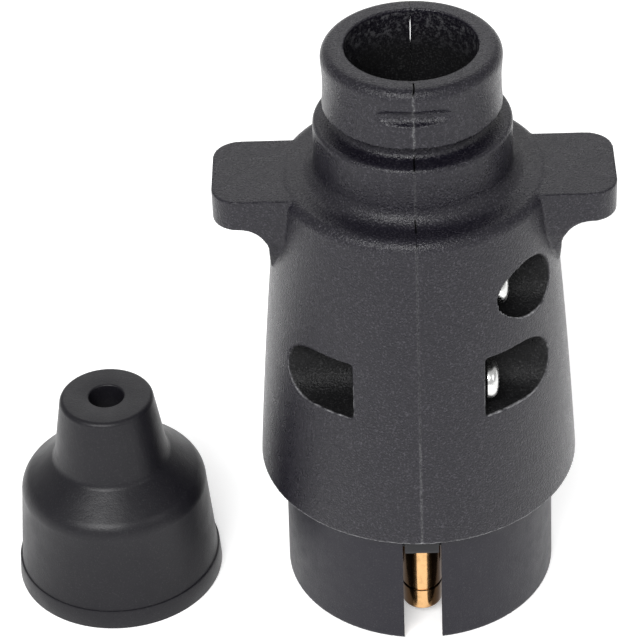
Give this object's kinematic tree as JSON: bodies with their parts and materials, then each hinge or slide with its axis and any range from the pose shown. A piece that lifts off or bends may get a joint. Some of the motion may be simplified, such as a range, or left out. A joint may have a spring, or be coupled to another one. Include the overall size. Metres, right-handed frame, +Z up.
{
  "type": "trailer wiring connector",
  "caption": "Round trailer wiring plug: slotted sleeve round brass contact pins, clamshell housing with finger wings and a cable neck, and a loose rubber cable boot.",
  "frame": {"origin": "centre of the footprint of the plug and the loose boot together, on the surface that both stand on", "axes": "+Z up, from the sleeve's open rim to the cable neck; -Y is the keyway side; the housing halves part along X, and the boot stands on the -X side"},
  "size_m": [0.0916, 0.0478, 0.0929],
  "materials": {
    "housing_plastic": "dark grey spark-textured moulded plastic, worn lighter along its edges",
    "sleeve_plastic": "dark grey moulded plastic, a little smoother than the housing",
    "carrier_plastic": "darker grey moulded plastic",
    "pin_brass": "turned brass, slightly dull",
    "screw_steel": "bright zinc plated steel",
    "boot_rubber": "soft black rubber, matte"
  },
  "bodies": {
    "plug": {"housing_half_left": "housing_plastic", "plug_sleeve": "sleeve_plastic", "contact_carrier": "carrier_plastic", "contact_pin_1": "pin_brass", "contact_pin_2": "pin_brass", "contact_pin_3": "pin_brass", "contact_pin_4": "pin_brass", "contact_pin_5": "pin_brass", "contact_pin_6": "pin_brass", "contact_pin_7": "pin_brass"},
    "right_half": {"housing_half_right": "housing_plastic"},
    "screw_front_lower": {"housing_screw_front_lower": "screw_steel"},
    "screw_front_upper": {"housing_screw_front_upper": "screw_steel"},
    "screw_rear_lower": {"housing_screw_rear_lower": "screw_steel"},
    "screw_rear_upper": {"housing_screw_rear_upper": "screw_steel"},
    "terminal_1": {"terminal_screw_1": "screw_steel"},
    "terminal_2": {"terminal_screw_2": "screw_steel"},
    "terminal_3": {"terminal_screw_3": "screw_steel"},
    "terminal_4": {"terminal_screw_4": "screw_steel"},
    "terminal_5": {"terminal_screw_5": "screw_steel"},
    "terminal_6": {"terminal_screw_6": "screw_steel"},
    "terminal_7": {"terminal_screw_7": "screw_steel"},
    "boot": {"cable_boot": "boot_rubber"}
  },
  "joints": [
    {"name": "right_half_off", "type": "slide", "parent": "plug", "child": "right_half", "axis": [1, 0, 0], "range_m": [0, 0.03]},
    {"name": "screw_front_lower_out", "type": "slide", "parent": "right_half", "child": "screw_front_lower", "axis": [1, 0, 0], "range_m": [0, 0.02]},
    {"name": "screw_front_upper_out", "type": "slide", "parent": "right_half", "child": "screw_front_upper", "axis": [1, 0, 0], "range_m": [0, 0.02]},
    {"name": "screw_rear_lower_out", "type": "slide", "parent": "plug", "child": "screw_rear_lower", "axis": [-1, 0, 0], "range_m": [0, 0.02]},
    {"name": "screw_rear_upper_out", "type": "slide", "parent": "plug", "child": "screw_rear_upper", "axis": [-1, 0, 0], "range_m": [0, 0.02]},
    {"name": "terminal_1_loosen", "type": "slide", "parent": "plug", "child": "terminal_1", "axis": [0, -1, 0], "range_m": [0, 0.0012]},
    {"name": "terminal_2_loosen", "type": "slide", "parent": "plug", "child": "terminal_2", "axis": [0.866, -0.5, 0], "range_m": [0, 0.0012]},
    {"name": "terminal_3_loosen", "type": "slide", "parent": "plug", "child": "terminal_3", "axis": [0.866, 0.5, 0], "range_m": [0, 0.0012]},
    {"name": "terminal_4_loosen", "type": "slide", "parent": "plug", "child": "terminal_4", "axis": [0, 1, 0], "range_m": [0, 0.0012]},
    {"name": "terminal_5_loosen", "type": "slide", "parent": "plug", "child": "terminal_5", "axis": [-0.866, 0.5, 0], "range_m": [0, 0.0012]},
    {"name": "terminal_6_loosen", "type": "slide", "parent": "plug", "child": "terminal_6", "axis": [-0.866, -0.5, 0], "range_m": [0, 0.0012]},
    {"name": "terminal_7_loosen", "type": "slide", "parent": "plug", "child": "terminal_7", "axis": [1, 0, 0], "range_m": [0, 0.0012]},
    {"name": "boot_lift", "type": "slide", "parent": "plug", "child": "boot", "axis": [0, 0, 1], "range_m": [0, 0.1]}
  ]
}
